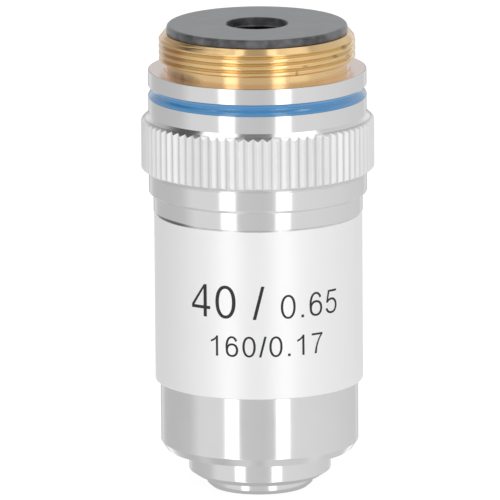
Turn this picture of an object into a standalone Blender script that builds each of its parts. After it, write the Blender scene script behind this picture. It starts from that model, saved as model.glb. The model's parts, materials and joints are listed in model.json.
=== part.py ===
"""Microscope objective with a spring-loaded nose, standing on its front rim.

Everything is turned about the Z axis. The nose tip is at the origin, the thread is at the top.
The lens barrel slides up into the body against the return spring.
"""

import math

import bmesh
import bpy
from mathutils import Matrix

# Optical heights: the shoulder lies one parfocal length above the specimen
PARFOCAL_LENGTH = 45.0e-3
WORKING_DISTANCE = 0.65e-3
COVER_GLASS = 0.17e-3
NOSE_TRAVEL = 3.0e-3

# Clearances
FIT = 0.1e-3
CEMENT = 0.06e-3
WELL_CLEARANCE = 0.3e-3

# Lens barrel and nose
NOSE_RADIUS = 7.36e-3
NOSE_PROUD = 4.06e-3
NOSE_CHAMFER_WIDTH = 0.91e-3
NOSE_CHAMFER_HEIGHT = 0.59e-3
NOSE_CAP_HEIGHT = 4.6e-3
NOSE_CAP_SPIGOT = 2.6e-3
NOSE_CAP_WALL = 0.7e-3
BARREL_WALL = 1.46e-3
BARREL_SHANK = 18.5e-3
BARREL_FLANGE_LIP = 1.24e-3
BARREL_FLANGE_HEIGHT = 1.5e-3
SPRING_PILOT_STEP = 0.36e-3
SPRING_PILOT_HEIGHT = 3.0e-3

# Front cell and its hemispherical lens
FRONT_CELL_RADIUS = 5.5e-3
FRONT_CELL_HEAD = 1.11e-3
FRONT_CELL_CHAMFER_WIDTH = 0.45e-3
FRONT_CELL_CHAMFER_HEIGHT = 0.4e-3
FRONT_CELL_SHANK = 5.4e-3
FRONT_RECESS_RADIUS = 3.2e-3
FRONT_APERTURE_RADIUS = 1.5e-3
FRONT_RECESS_DEPTH = 0.35e-3
FRONT_LENS_SEAT = 0.6e-3
FRONT_LENS_RADIUS = 2.4e-3
FRONT_CELL_WALL = 1.3e-3

# Lens cells in the barrel
FRONT_POCKET_WALL = 1.5e-3
REAR_POCKET_WALL = 1.1e-3
FRONT_CELL_LENGTH = 4.4e-3
REAR_CELL_LENGTH = 4.8e-3
CELL_LEDGE_WIDTH = 0.6e-3
CELL_LEDGE_HEIGHT = 0.7e-3
CROWN_EDGE = 0.7e-3
FLINT_CENTRE = 0.34e-3
OUTER_CURVE = 11.0e-3
CEMENTED_CURVE = 9.0e-3
SPACER_LENGTH = 1.9e-3
SPACER_WALL = 1.2e-3
APERTURE_STOP_THICKNESS = 0.6e-3
APERTURE_STOP_RADIUS = 3.4e-3
RETAINING_RING_HEIGHT = 1.5e-3
RETAINING_RING_WALL = 1.3e-3
SPANNER_SLOT_WIDTH = 1.2e-3
SPANNER_SLOT_DEPTH = 0.7e-3

# Body tube and marking sleeve
SHIM_THICKNESS = 0.3e-3
SPIGOT_WALL = 0.7e-3
SPIGOT_STEP = 0.45e-3
SLEEVE_LEDGE = 0.21e-3
SLEEVE_WALL = 0.64e-3
SLEEVE_HEIGHT = 17.67e-3
BODY_CHAMFER_WIDTH = 0.59e-3
BODY_CHAMFER_HEIGHT = 0.87e-3

# Grip collar, from the shoulder down
FLANGE_HEIGHT = 1.63e-3
FLANGE_CHAMFER_WIDTH = 0.28e-3
FLANGE_CHAMFER_HEIGHT = 0.36e-3
EDGE_BREAK = 0.15e-3
GROOVE_HEIGHT = 1.25e-3
GROOVE_DEPTH = 0.8e-3
PLAIN_BAND_HEIGHT = 1.65e-3
KNURL_HEIGHT = 6.25e-3
STEP_BAND_HEIGHT = 2.1e-3
STEP_CHAMFER_HEIGHT = 0.3e-3
LOWER_BAND_HEIGHT = 2.1e-3
LOWER_BAND_WALL = 1.14e-3
BAND_STEP = 0.46e-3
KNURL_RISE = 0.77e-3
KNURL_TOP_CHAMFER_HEIGHT = 0.65e-3
KNURL_BOTTOM_CHAMFER_HEIGHT = 0.54e-3
KNURL_TEETH = 78
TOOTH_DEPTH = 0.42e-3
TOOTH_CREST = 0.13e-3
TOOTH_CUT_CLEARANCE = 0.05e-3

# Coloured enamel band, rounded over at its top and nearly flush at its lower edge
BAND_TOP_RECESS = 0.35e-3
BAND_FACE_RECESS = 0.02e-3
BAND_SHOULDER_RECESS = 0.12e-3
BAND_FACE_HEIGHT = 0.4e-3
BAND_SHOULDER_HEIGHT = 0.75e-3

# Brass thread mount
THREAD_RADIUS = 10.16e-3
THREAD_HEIGHT = 2.97e-3
THREAD_CHAMFER_WIDTH = 0.5e-3
THREAD_CHAMFER_HEIGHT = 0.4e-3
RELIEF_HEIGHT = 0.8e-3
RELIEF_DEPTH = 0.56e-3
MOUNT_SPIGOT = 6.1e-3
MOUNT_WALL = 0.8e-3
COLLAR_LEDGE = 0.4e-3
SHOULDER_RECESS_DEPTH = 0.15e-3
SHOULDER_RECESS_CLEARANCE = 0.12e-3

# Black rear stop
STOP_RIM_STEP = 0.77e-3
STOP_RIM_HEIGHT = 0.75e-3
STOP_WEB = 1.0e-3
STOP_APERTURE_RADIUS = 3.2e-3
STOP_ROUND = 0.25e-3
STOP_SKIRT_WALL = 1.4e-3
STOP_SKIRT_DEPTH = 4.55e-3

# Return spring and its washer
WASHER_THICKNESS = 0.3e-3
WIRE_RADIUS = 0.4e-3
ACTIVE_TURNS = 6
CLOSED_TURNS = 1

# Guide screw in the keyway
SCREW_HEIGHT = 17.0e-3
SCREW_SHANK_RADIUS = 0.8e-3
SCREW_HEAD_RADIUS = 1.2e-3
SCREW_HEAD_HEIGHT = 0.7e-3
SCREW_TIP_RADIUS = 0.5e-3
KEYWAY_DEPTH = 0.7e-3
DRIVER_SLOT_WIDTH = 0.35e-3
DRIVER_SLOT_DEPTH = 0.3e-3

# Facets round the turned pieces
BODY_SEGMENTS = 48
BARREL_SEGMENTS = 32
LENS_SEGMENTS = 16
SCREW_SEGMENTS = 16
LENS_STEPS = 4
SPRING_STEPS = 12

# Heights worked out from the sizes above
shoulder_z = PARFOCAL_LENGTH - WORKING_DISTANCE - COVER_GLASS
flange_bottom = shoulder_z - FLANGE_HEIGHT
groove_bottom = flange_bottom - GROOVE_HEIGHT
knurl_top = groove_bottom - PLAIN_BAND_HEIGHT
knurl_bottom = knurl_top - KNURL_HEIGHT
step_band_bottom = knurl_bottom - STEP_BAND_HEIGHT
collar_bottom = step_band_bottom - LOWER_BAND_HEIGHT
collar_ledge_z = shoulder_z - MOUNT_SPIGOT - FIT
sleeve_top = collar_bottom - FIT
sleeve_bottom = sleeve_top - SLEEVE_HEIGHT
recess_z = shoulder_z - SHOULDER_RECESS_DEPTH
thread_bottom = shoulder_z + FIT + RELIEF_HEIGHT
thread_top = thread_bottom + THREAD_HEIGHT
stop_seat = thread_top + FIT
stop_top = stop_seat + STOP_RIM_HEIGHT
skirt_bottom = stop_seat - STOP_SKIRT_DEPTH
nose_cap_bottom = FRONT_CELL_HEAD + FIT
barrel_bottom = nose_cap_bottom + NOSE_CAP_HEIGHT + FIT
barrel_flange_bottom = barrel_bottom + BARREL_SHANK
barrel_flange_top = barrel_flange_bottom + BARREL_FLANGE_HEIGHT
barrel_top = barrel_flange_top + SPRING_PILOT_HEIGHT
shim_bottom = barrel_flange_bottom - FIT - SHIM_THICKNESS
tube_ledge_z = shim_bottom - FIT
washer_bottom = barrel_flange_top + FIT
spring_bottom = washer_bottom + WASHER_THICKNESS + FIT
spring_top = skirt_bottom - FIT
front_cells_bottom = barrel_bottom + NOSE_CAP_SPIGOT
spacer_bottom = front_cells_bottom + FRONT_CELL_LENGTH + FIT
rear_cells_bottom = spacer_bottom + SPACER_LENGTH + FIT
aperture_stop_bottom = rear_cells_bottom + REAR_CELL_LENGTH + FIT
retaining_ring_bottom = aperture_stop_bottom + APERTURE_STOP_THICKNESS + FIT

# Radii worked out from the inside to the outside
barrel_bore = NOSE_RADIUS - BARREL_WALL
cell_radius = barrel_bore - FIT
nose_cap_bore = cell_radius - NOSE_CAP_WALL
front_shank_radius = nose_cap_bore - FIT
guide_bore = NOSE_RADIUS + FIT
barrel_flange_radius = NOSE_RADIUS + BARREL_FLANGE_LIP
well_radius = barrel_flange_radius + WELL_CLEARANCE
spigot_radius = well_radius + SPIGOT_WALL
tube_radius = spigot_radius + SPIGOT_STEP
body_radius = tube_radius + SLEEVE_LEDGE
sleeve_bore = tube_radius + FIT
sleeve_radius = sleeve_bore + SLEEVE_WALL
collar_bore = spigot_radius + FIT
lower_band_radius = collar_bore + LOWER_BAND_WALL
collar_radius = lower_band_radius + BAND_STEP
knurl_radius = collar_radius + KNURL_RISE
groove_floor = collar_radius - GROOVE_DEPTH
mount_seat_bore = collar_bore - COLLAR_LEDGE
mount_spigot_radius = mount_seat_bore - FIT
mount_bore = mount_spigot_radius - MOUNT_WALL
shoulder_recess_radius = THREAD_RADIUS + SHOULDER_RECESS_CLEARANCE
relief_radius = THREAD_RADIUS - RELIEF_DEPTH
stop_rim_radius = THREAD_RADIUS - STOP_RIM_STEP
skirt_radius = mount_bore - FIT
skirt_bore = skirt_radius - STOP_SKIRT_WALL
spring_pilot_radius = NOSE_RADIUS - SPRING_PILOT_STEP
spring_outer_radius = mount_bore - WELL_CLEARANCE
spring_radius = spring_outer_radius - WIRE_RADIUS
shim_bore = guide_bore + FIT


def clear_scene():
    """Remove whatever the scene holds, so that the model starts empty."""
    for old in list(bpy.data.objects):
        bpy.data.objects.remove(old, do_unlink=True)


def new_collection(name):
    """Return a new collection under the scene's own."""
    collection = bpy.data.collections.new(name)
    bpy.context.scene.collection.children.link(collection)
    return collection


def new_material(name, colour, roughness, metallic):
    """Return a Principled material."""
    material = bpy.data.materials.new(name)
    material.use_nodes = True
    shader = material.node_tree.nodes["Principled BSDF"]
    shader.inputs["Base Color"].default_value = (*colour, 1.0)
    shader.inputs["Roughness"].default_value = roughness
    shader.inputs["Metallic"].default_value = metallic
    return material


clear_scene()
parts = new_collection("microscope_objective")
cutters = new_collection("cutters")

CHROME = new_material("chrome", (0.62, 0.62, 0.63), 0.18, 1.0)
SATIN = new_material("satin_chrome", (0.75, 0.75, 0.76), 0.45, 1.0)
BRASS = new_material("brass", (0.65, 0.42, 0.16), 0.25, 1.0)
BLACK = new_material("black_anodised", (0.02, 0.02, 0.022), 0.5, 0.2)
ENAMEL = new_material("blue_enamel", (0.09, 0.28, 0.52), 0.25, 0.0)
STEEL = new_material("spring_steel", (0.35, 0.35, 0.37), 0.3, 1.0)
GLASS = new_material("optical_glass", (0.85, 0.93, 0.9), 0.03, 0.0)


def add_body(name):
    """Add an empty on the sliding axis, which carries the pieces that move together."""
    body = bpy.data.objects.new(name, None)
    body.empty_display_size = NOSE_RADIUS
    parts.objects.link(body)
    return body


def add_object(name, data, material=None, body=None):
    """Put a mesh or curve in the parts with its material, or in the cutters without one."""
    thing = bpy.data.objects.new(name, data)
    if material:
        data.materials.append(material)
        parts.objects.link(thing)
        thing.parent = body
    else:
        cutters.objects.link(thing)
        thing.hide_render = True
        thing.display_type = "WIRE"
    return thing


def freeze(thing):
    """Turn an object with its modifiers into a plain mesh, smooth between sharp edges."""
    bpy.context.view_layer.update()
    evaluated = thing.evaluated_get(bpy.context.evaluated_depsgraph_get())
    mesh = bpy.data.meshes.new_from_object(evaluated)
    mesh.name = thing.name
    thing.modifiers.clear()
    thing.data = mesh
    mesh.shade_smooth()
    mesh.set_sharp_from_angle(angle=math.radians(30))


def turned(name, profile, segments, material=None, body=None):
    """Revolve (radius, height) points about Z: down the outer side, then up the inner one."""
    mesh = bpy.data.meshes.new(name)
    edges = [(i, i + 1) for i in range(len(profile) - 1)]
    if profile[0][0] > 0 or profile[-1][0] > 0:
        edges.append((len(profile) - 1, 0))
    mesh.from_pydata([(radius, 0.0, height) for radius, height in profile], edges, [])
    thing = add_object(name, mesh, material, body)
    screw = thing.modifiers.new("Turn", "SCREW")
    screw.axis = "Z"
    screw.angle = math.tau
    screw.steps = segments
    screw.render_steps = segments
    screw.use_merge_vertices = True
    screw.merge_threshold = 1e-6
    freeze(thing)
    return thing


def ring(name, outer, bore, bottom, top, segments, material, body):
    """A plain ring with square edges."""
    profile = [(outer, top), (outer, bottom), (bore, bottom), (bore, top)]
    return turned(name, profile, segments, material, body)


def cut(thing, cutter):
    """Take the cutter's shape out of a piece."""
    boolean = thing.modifiers.new("Cut", "BOOLEAN")
    boolean.operation = "DIFFERENCE"
    boolean.solver = "EXACT"
    boolean.object = cutter
    freeze(thing)


def cutter_from(name, bm):
    """Make a cutter object from an edit mesh and free that mesh."""
    mesh = bpy.data.meshes.new(name)
    bm.to_mesh(mesh)
    bm.free()
    return add_object(name, mesh)


def box_cutter(name, size, centre):
    """A box that cuts a slot."""
    bm = bmesh.new()
    matrix = Matrix.Translation(centre) @ Matrix.Diagonal((*size, 1.0))
    bmesh.ops.create_cube(bm, size=1.0, matrix=matrix)
    return cutter_from(name, bm)


def sag(curve, radius):
    """Height of a spherical surface over its vertex at a radius."""
    return curve - math.sqrt(curve * curve - radius * radius)


def dome(curve, radius, vertex_z, bulge):
    """Points of a lens face from the axis to its edge, with bulge 1 for a face that rises outward."""
    radii = [radius * i / LENS_STEPS for i in range(LENS_STEPS + 1)]
    return [(r, vertex_z + bulge * sag(curve, r)) for r in radii]


def lens(name, radius, lower, upper, body):
    """A lens between two faces, each given as points from the axis outward."""
    return turned(name, upper + lower[::-1], LENS_SEGMENTS, GLASS, body)


def grip_collar(body):
    """Knurled collar with the flange, the enamel groove and the two plain bands under the knurl."""
    collar = turned("grip_collar", [
        (collar_radius - EDGE_BREAK, shoulder_z),
        (collar_radius, shoulder_z - EDGE_BREAK),
        (collar_radius, flange_bottom + FLANGE_CHAMFER_HEIGHT),
        (collar_radius - FLANGE_CHAMFER_WIDTH, flange_bottom),
        (groove_floor, flange_bottom),
        (groove_floor, groove_bottom),
        (collar_radius, groove_bottom),
        (collar_radius, knurl_top),
        (knurl_radius, knurl_top - KNURL_TOP_CHAMFER_HEIGHT),
        (knurl_radius, knurl_bottom + KNURL_BOTTOM_CHAMFER_HEIGHT),
        (collar_radius, knurl_bottom),
        (collar_radius, step_band_bottom + STEP_CHAMFER_HEIGHT),
        (lower_band_radius, step_band_bottom),
        (lower_band_radius, collar_bottom),
        (collar_bore, collar_bottom),
        (collar_bore, collar_ledge_z),
        (mount_seat_bore, collar_ledge_z),
        (mount_seat_bore, recess_z),
        (shoulder_recess_radius, recess_z),
        (shoulder_recess_radius, shoulder_z),
    ], KNURL_TEETH, CHROME, body)
    cut(collar, knurl_cutter())


def knurl_cutter():
    """Diamond bars round the collar, whose inner corners cut the straight V grooves."""
    pitch = math.tau * knurl_radius / KNURL_TEETH
    half_depth = TOOTH_DEPTH + TOOTH_CUT_CLEARANCE
    half_width = (pitch - TOOTH_CREST) / 2 * half_depth / TOOTH_DEPTH
    middle = (knurl_top + knurl_bottom) / 2
    length = KNURL_HEIGHT + 2 * TOOTH_CUT_CLEARANCE
    bar = (Matrix.Translation((knurl_radius + TOOTH_CUT_CLEARANCE, 0.0, middle))
           @ Matrix.Diagonal((half_depth, half_width, length / math.sqrt(2), 1.0))
           @ Matrix.Rotation(math.radians(45), 4, "Z"))
    bm = bmesh.new()
    for tooth in range(KNURL_TEETH):
        turn = Matrix.Rotation(math.tau * tooth / KNURL_TEETH, 4, "Z")
        bmesh.ops.create_cube(bm, size=math.sqrt(2), matrix=turn @ bar)
    return cutter_from("knurl_cutter", bm)


def colour_band(body):
    """Enamel ring in the collar's groove, swelling out toward its lower edge."""
    top = flange_bottom - FIT
    bottom = groove_bottom + FIT
    turned("colour_band", [
        (collar_radius - BAND_TOP_RECESS - EDGE_BREAK, top),
        (collar_radius - BAND_TOP_RECESS, top - EDGE_BREAK / 2),
        (collar_radius - BAND_SHOULDER_RECESS, bottom + BAND_SHOULDER_HEIGHT),
        (collar_radius - BAND_FACE_RECESS, bottom + BAND_FACE_HEIGHT),
        (collar_radius - BAND_FACE_RECESS, bottom + EDGE_BREAK / 2),
        (collar_radius - BAND_FACE_RECESS - EDGE_BREAK / 2, bottom),
        (groove_floor + FIT, bottom),
        (groove_floor + FIT, top),
    ], BODY_SEGMENTS, ENAMEL, body)


def thread_mount(body):
    """Brass tube: the thread's full diameter, its relief over the shoulder and the spigot below."""
    turned("thread_mount", [
        (THREAD_RADIUS - THREAD_CHAMFER_WIDTH, thread_top),
        (THREAD_RADIUS, thread_top - THREAD_CHAMFER_HEIGHT),
        (THREAD_RADIUS, thread_bottom + EDGE_BREAK),
        (relief_radius, thread_bottom - EDGE_BREAK),
        (relief_radius, recess_z + FIT),
        (mount_spigot_radius, recess_z + FIT),
        (mount_spigot_radius, shoulder_z - MOUNT_SPIGOT),
        (mount_bore, shoulder_z - MOUNT_SPIGOT),
        (mount_bore, thread_top),
    ], BODY_SEGMENTS, BRASS, body)


def round_corner(centre_radius, centre_z, start_degrees, end_degrees):
    """Points of a rounded edge of the rear stop."""
    degrees = (start_degrees, (start_degrees + end_degrees) / 2, end_degrees)
    angles = [math.radians(value) for value in degrees]
    return [(centre_radius + STOP_ROUND * math.cos(a), centre_z + STOP_ROUND * math.sin(a)) for a in angles]


def rear_stop(body):
    """Black cap screwed into the brass tube, with the rear aperture and a skirt that seats the spring."""
    round_z = stop_top - STOP_ROUND
    turned("rear_stop", round_corner(stop_rim_radius - STOP_ROUND, round_z, 90, 0) + [
        (stop_rim_radius, stop_seat),
        (skirt_radius, stop_seat),
        (skirt_radius, skirt_bottom),
        (skirt_bore, skirt_bottom),
        (skirt_bore, stop_top - STOP_WEB),
        (STOP_APERTURE_RADIUS, stop_top - STOP_WEB),
    ] + round_corner(STOP_APERTURE_RADIUS + STOP_ROUND, round_z, 180, 90), BODY_SEGMENTS, BLACK, body)


def marking_sleeve(body):
    """Satin sleeve that carries the marks, pushed over the body tube up to the collar."""
    ring("marking_sleeve", sleeve_radius, sleeve_bore, sleeve_bottom, sleeve_top,
         BODY_SEGMENTS, SATIN, body)


def body_tube(body):
    """Main tube: chrome lower end, guide bore, ledge for the lens barrel and spigot in the collar."""
    tube = turned("body_tube", [
        (spigot_radius, collar_ledge_z - FIT),
        (spigot_radius, collar_bottom - FIT),
        (tube_radius, collar_bottom - FIT),
        (tube_radius, sleeve_bottom - FIT),
        (body_radius, sleeve_bottom - FIT),
        (body_radius, NOSE_PROUD + BODY_CHAMFER_HEIGHT),
        (body_radius - BODY_CHAMFER_WIDTH, NOSE_PROUD),
        (guide_bore + EDGE_BREAK, NOSE_PROUD),
        (guide_bore, NOSE_PROUD + EDGE_BREAK),
        (guide_bore, tube_ledge_z),
        (well_radius, tube_ledge_z),
        (well_radius, collar_ledge_z - FIT),
    ], BODY_SEGMENTS, CHROME, body)
    hole = turned("screw_hole_cutter", screw_hole_profile(), SCREW_SEGMENTS)
    place_screw(hole)
    freeze(hole)
    cut(tube, hole)


def screw_profile():
    """Profile of the guide screw: its head at the top, its plain tip at the end."""
    head_top = tube_radius - FIT
    head_bottom = head_top - SCREW_HEAD_HEIGHT
    tip_end = NOSE_RADIUS - KEYWAY_DEPTH + FIT
    return [
        (0.0, head_top),
        (SCREW_HEAD_RADIUS, head_top),
        (SCREW_HEAD_RADIUS, head_bottom),
        (SCREW_SHANK_RADIUS, head_bottom),
        (SCREW_SHANK_RADIUS, guide_bore),
        (SCREW_TIP_RADIUS, guide_bore),
        (SCREW_TIP_RADIUS, tip_end),
        (0.0, tip_end),
    ]


def screw_hole_profile():
    """Profile of the stepped hole for the guide screw, open at both faces of the tube's wall."""
    seat = tube_radius - FIT - SCREW_HEAD_HEIGHT - FIT
    return [
        (0.0, tube_radius + SLEEVE_WALL),
        (SCREW_HEAD_RADIUS + FIT, tube_radius + SLEEVE_WALL),
        (SCREW_HEAD_RADIUS + FIT, seat),
        (SCREW_SHANK_RADIUS + FIT, seat),
        (SCREW_SHANK_RADIUS + FIT, NOSE_RADIUS - KEYWAY_DEPTH),
        (0.0, NOSE_RADIUS - KEYWAY_DEPTH),
    ]


def place_screw(thing):
    """Lay a turned shape along +X at the screw's height, its head outward."""
    thing.location = (0.0, 0.0, SCREW_HEIGHT)
    thing.rotation_euler = (0.0, math.radians(90), 0.0)


def guide_screw(body):
    """Small screw through the tube's wall whose tip keeps the lens barrel from turning."""
    screw = turned("guide_screw", screw_profile(), SCREW_SEGMENTS, STEEL, body)
    head_top = tube_radius - FIT
    size = (3 * SCREW_HEAD_RADIUS, DRIVER_SLOT_WIDTH, 2 * DRIVER_SLOT_DEPTH)
    cut(screw, box_cutter("driver_slot_cutter", size, (0.0, 0.0, head_top)))
    place_screw(screw)


def inner_barrel(body):
    """Lens barrel: the sliding shank, the flange that stops on the ledge and the spring's pilot."""
    barrel = turned("inner_barrel", [
        (spring_pilot_radius, barrel_top),
        (spring_pilot_radius, barrel_flange_top),
        (barrel_flange_radius, barrel_flange_top),
        (barrel_flange_radius, barrel_flange_bottom),
        (NOSE_RADIUS, barrel_flange_bottom),
        (NOSE_RADIUS, barrel_bottom),
        (barrel_bore, barrel_bottom),
        (barrel_bore, barrel_top),
    ], BARREL_SEGMENTS, CHROME, body)
    cut(barrel, keyway_cutter())


def keyway_cutter():
    """Milled slot with rounded ends, as long as the travel, in which the screw's tip runs."""
    width = 2 * (SCREW_TIP_RADIUS + FIT)
    length = NOSE_TRAVEL + width + 2 * FIT
    middle = (NOSE_RADIUS, 0.0, SCREW_HEIGHT - NOSE_TRAVEL / 2)
    size = (2 * KEYWAY_DEPTH, width, length)
    bm = bmesh.new()
    matrix = Matrix.Translation(middle) @ Matrix.Diagonal((*size, 1.0))
    bmesh.ops.create_cube(bm, size=1.0, matrix=matrix)
    corners = [edge for edge in bm.edges if abs(edge.verts[0].co.x - edge.verts[1].co.x) > KEYWAY_DEPTH]
    bmesh.ops.bevel(bm, geom=corners, offset=width / 2 - FIT / 2, segments=3, profile=0.5, affect="EDGES")
    return cutter_from("keyway_cutter", bm)


def nose_cap(body):
    """Turned nose that closes the barrel's lower end and holds the front cell."""
    step_z = nose_cap_bottom + NOSE_CAP_HEIGHT
    turned("nose_cap", [
        (cell_radius, step_z + NOSE_CAP_SPIGOT),
        (cell_radius, step_z),
        (NOSE_RADIUS, step_z),
        (NOSE_RADIUS, nose_cap_bottom + NOSE_CHAMFER_HEIGHT),
        (NOSE_RADIUS - NOSE_CHAMFER_WIDTH, nose_cap_bottom),
        (nose_cap_bore, nose_cap_bottom),
        (nose_cap_bore, step_z + NOSE_CAP_SPIGOT),
    ], BARREL_SEGMENTS, CHROME, body)


def front_cell(body):
    """Front cell with its head below the nose, the lens seat and the widening light path."""
    shank_top = nose_cap_bottom + FRONT_CELL_SHANK
    lens_bore = FRONT_LENS_RADIUS + FIT
    back_bore = front_shank_radius - FRONT_CELL_WALL
    turned("front_cell", [
        (front_shank_radius, shank_top),
        (front_shank_radius, FRONT_CELL_HEAD),
        (FRONT_CELL_RADIUS, FRONT_CELL_HEAD),
        (FRONT_CELL_RADIUS, FRONT_CELL_CHAMFER_HEIGHT),
        (FRONT_CELL_RADIUS - FRONT_CELL_CHAMFER_WIDTH, 0.0),
        (FRONT_RECESS_RADIUS, 0.0),
        (FRONT_APERTURE_RADIUS, FRONT_RECESS_DEPTH),
        (FRONT_APERTURE_RADIUS, FRONT_LENS_SEAT),
        (lens_bore, FRONT_LENS_SEAT),
        (lens_bore, FRONT_LENS_SEAT + FRONT_LENS_RADIUS),
        (back_bore, FRONT_LENS_SEAT + FRONT_LENS_RADIUS + back_bore - lens_bore),
        (back_bore, shank_top),
    ], BARREL_SEGMENTS, CHROME, body)


def front_lens(body):
    """Half-ball front lens, its flat face down on the seat."""
    flat_z = FRONT_LENS_SEAT + FIT
    angles = [math.radians(90) * i / LENS_STEPS for i in range(LENS_STEPS + 1)]
    ball = [(FRONT_LENS_RADIUS * math.sin(a), flat_z + FRONT_LENS_RADIUS * math.cos(a)) for a in angles]
    ball[0] = (0.0, flat_z + FRONT_LENS_RADIUS)
    turned("front_lens", ball + [(0.0, flat_z)], LENS_SEGMENTS, GLASS, body)


def doublet(name, pocket_wall, bottom, length, body):
    """A cell with a ledge, and the cemented crown and flint lenses that lie on it."""
    pocket = cell_radius - pocket_wall
    radius = pocket - FIT
    ledge_bore = pocket - CELL_LEDGE_WIDTH
    ledge_z = bottom + CELL_LEDGE_HEIGHT
    turned(name + "_cell", [
        (cell_radius, bottom + length),
        (cell_radius, bottom),
        (ledge_bore, bottom),
        (ledge_bore, ledge_z),
        (pocket, ledge_z),
        (pocket, bottom + length),
    ], BARREL_SEGMENTS, BLACK, body)
    edge_z = ledge_z + FIT + sag(OUTER_CURVE, radius) - sag(OUTER_CURVE, ledge_bore)
    crown_top = edge_z + CROWN_EDGE
    crown_centre = crown_top + sag(CEMENTED_CURVE, radius)
    lower_face = dome(OUTER_CURVE, radius, edge_z - sag(OUTER_CURVE, radius), 1)
    bulging_face = dome(CEMENTED_CURVE, radius, crown_centre, -1)
    lens(name + "_crown", radius, lower_face, bulging_face, body)
    hollow_face = [(r, z + CEMENT) for r, z in bulging_face]
    flint_top = crown_centre + CEMENT + FLINT_CENTRE
    lens(name + "_flint", radius, hollow_face, [(0.0, flint_top), (radius, flint_top)], body)


def retaining_ring(body):
    """Screwed ring that clamps the stack of cells, with two slots for a spanner."""
    top = retaining_ring_bottom + RETAINING_RING_HEIGHT
    bore = cell_radius - RETAINING_RING_WALL
    clamp = ring("retaining_ring", cell_radius, bore, retaining_ring_bottom, top,
                 BARREL_SEGMENTS, BLACK, body)
    size = (3 * cell_radius, SPANNER_SLOT_WIDTH, 2 * SPANNER_SLOT_DEPTH)
    cut(clamp, box_cutter("spanner_slot_cutter", size, (0.0, 0.0, top)))


def return_spring(body):
    """Compression spring with one closed turn at each end, from the washer up to the rear stop."""
    low = spring_bottom + WIRE_RADIUS
    high = spring_top - WIRE_RADIUS
    closed_rise = 2 * WIRE_RADIUS + FIT
    active_rise = (high - low - 2 * CLOSED_TURNS * closed_rise) / ACTIVE_TURNS
    turns = ACTIVE_TURNS + 2 * CLOSED_TURNS
    curve = bpy.data.curves.new("return_spring", "CURVE")
    curve.dimensions = "3D"
    curve.bevel_depth = WIRE_RADIUS
    curve.bevel_resolution = 2
    curve.use_fill_caps = True
    spline = curve.splines.new("POLY")
    count = turns * SPRING_STEPS + 1
    spline.points.add(count - 1)
    for i, point in enumerate(spline.points):
        turn = i / SPRING_STEPS
        rise = closed_rise * min(turn, CLOSED_TURNS)
        rise += active_rise * min(max(turn - CLOSED_TURNS, 0.0), ACTIVE_TURNS)
        rise += closed_rise * max(turn - CLOSED_TURNS - ACTIVE_TURNS, 0.0)
        angle = math.tau * turn
        point.co = (spring_radius * math.cos(angle), spring_radius * math.sin(angle), low + rise, 1.0)
    add_object("return_spring", curve, STEEL, body)


def build_housing():
    """The pieces that stay with the microscope's nosepiece."""
    body = add_body("housing")
    thread_mount(body)
    rear_stop(body)
    grip_collar(body)
    colour_band(body)
    marking_sleeve(body)
    body_tube(body)
    guide_screw(body)
    ring("parfocal_shim", barrel_flange_radius, shim_bore, shim_bottom, shim_bottom + SHIM_THICKNESS,
         BARREL_SEGMENTS, BRASS, body)
    return_spring(body)


def build_lens_barrel():
    """The pieces that slide up when the nose is pushed."""
    body = add_body("lens_barrel")
    inner_barrel(body)
    nose_cap(body)
    front_cell(body)
    front_lens(body)
    doublet("front_doublet", FRONT_POCKET_WALL, front_cells_bottom, FRONT_CELL_LENGTH, body)
    ring("lens_spacer", cell_radius, cell_radius - SPACER_WALL, spacer_bottom,
         spacer_bottom + SPACER_LENGTH, BARREL_SEGMENTS, BLACK, body)
    doublet("rear_doublet", REAR_POCKET_WALL, rear_cells_bottom, REAR_CELL_LENGTH, body)
    ring("aperture_stop", cell_radius, APERTURE_STOP_RADIUS, aperture_stop_bottom,
         aperture_stop_bottom + APERTURE_STOP_THICKNESS, BARREL_SEGMENTS, BLACK, body)
    retaining_ring(body)
    ring("spring_washer", spring_outer_radius, spring_pilot_radius + FIT, washer_bottom,
         washer_bottom + WASHER_THICKNESS, BARREL_SEGMENTS, STEEL, body)


build_housing()
build_lens_barrel()
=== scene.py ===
"""Microscope objective with a spring-loaded nose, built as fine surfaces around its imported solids."""

import json
import math

import bmesh
import bpy
from bpy.props import FloatProperty, FloatVectorProperty, IntProperty, PointerProperty, StringProperty
from mathutils import Matrix, Vector
from mathutils.geometry import tessellate_polygon


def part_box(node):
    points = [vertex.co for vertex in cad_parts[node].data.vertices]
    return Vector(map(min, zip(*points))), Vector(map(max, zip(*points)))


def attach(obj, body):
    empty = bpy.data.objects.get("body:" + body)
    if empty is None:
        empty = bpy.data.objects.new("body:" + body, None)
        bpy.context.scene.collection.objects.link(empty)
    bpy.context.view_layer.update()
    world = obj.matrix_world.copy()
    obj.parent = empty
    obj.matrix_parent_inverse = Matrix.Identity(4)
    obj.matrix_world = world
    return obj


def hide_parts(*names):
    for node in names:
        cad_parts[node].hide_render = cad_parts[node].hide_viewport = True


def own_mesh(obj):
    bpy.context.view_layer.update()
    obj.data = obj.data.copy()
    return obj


bl_info = {
    "name": "Microscope Objective",
    "version": (1, 0, 0),
    "blender": (4, 5, 0),
    "location": "3D View > Sidebar > Objective",
    "description": "Builds a sprung microscope objective piece by piece around its solids",
    "category": "Add Mesh",
}

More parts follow.
